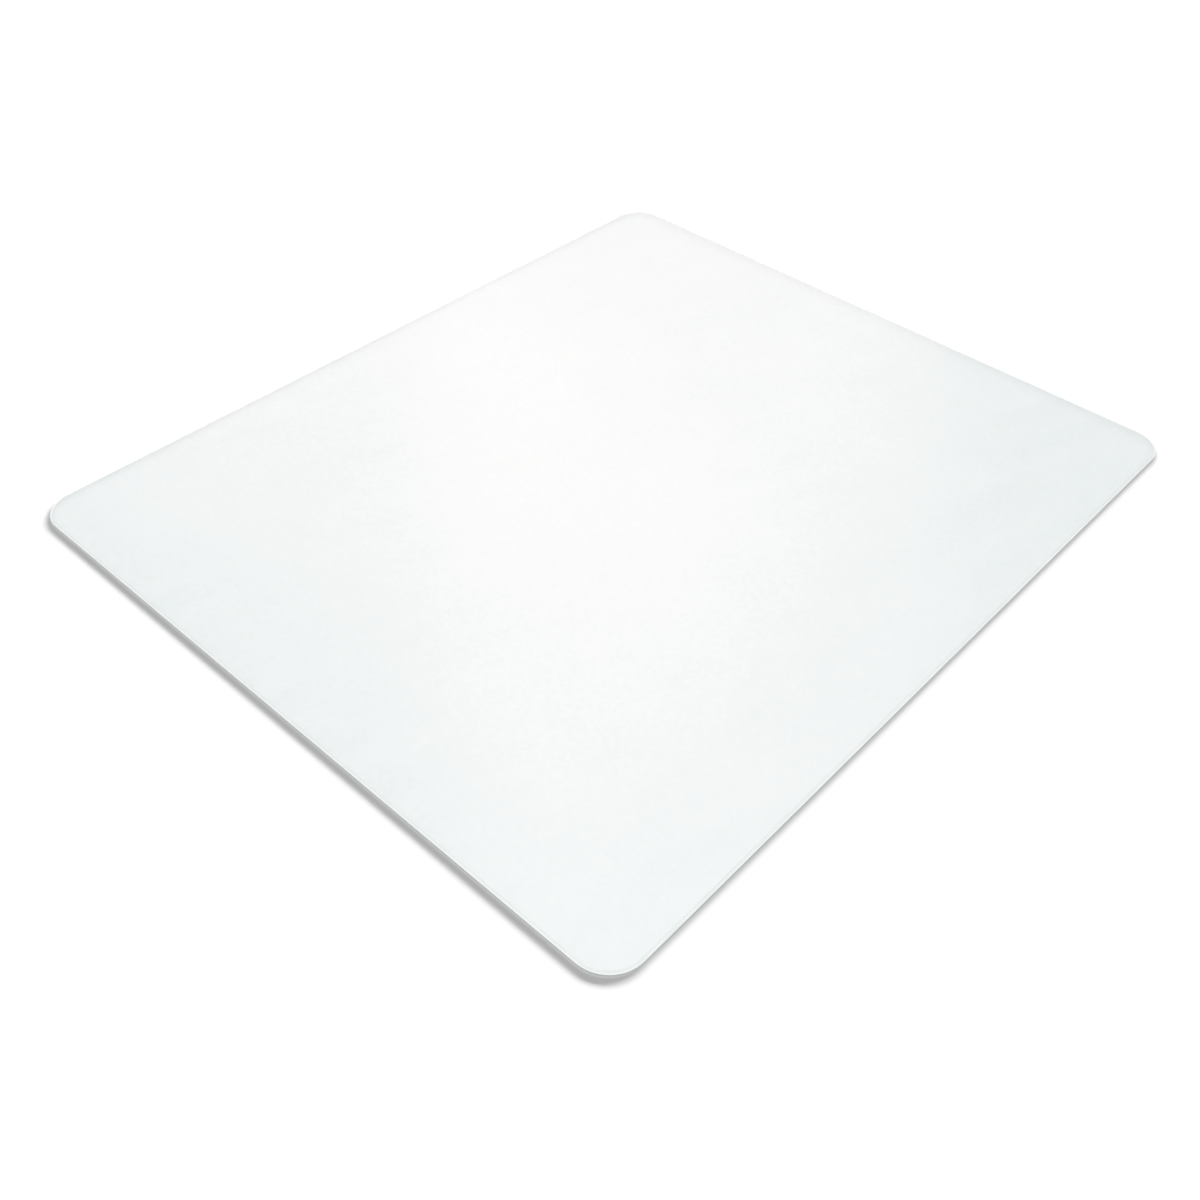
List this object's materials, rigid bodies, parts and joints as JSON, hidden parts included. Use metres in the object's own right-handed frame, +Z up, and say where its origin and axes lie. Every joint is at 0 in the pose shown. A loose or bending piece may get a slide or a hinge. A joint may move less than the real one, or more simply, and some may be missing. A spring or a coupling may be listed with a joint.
{
  "type": "chair mat",
  "caption": "Flat translucent rectangular floor mat with rounded corners and a bevelled rim, for an office chair to roll on over a hard floor.",
  "frame": {"origin": "centre of the underside, on the floor", "axes": "+X along the mat's length, +Y along its width, +Z up"},
  "size_m": [1.3462, 1.143, 0.003],
  "materials": {
    "grip_backing": "matte",
    "core_sheet": "gloss",
    "wear_layer": "satin"
  },
  "bodies": {
    "root": {"grip_backing": "grip_backing", "core_sheet": "core_sheet", "wear_layer": "wear_layer"}
  },
  "joints": []
}
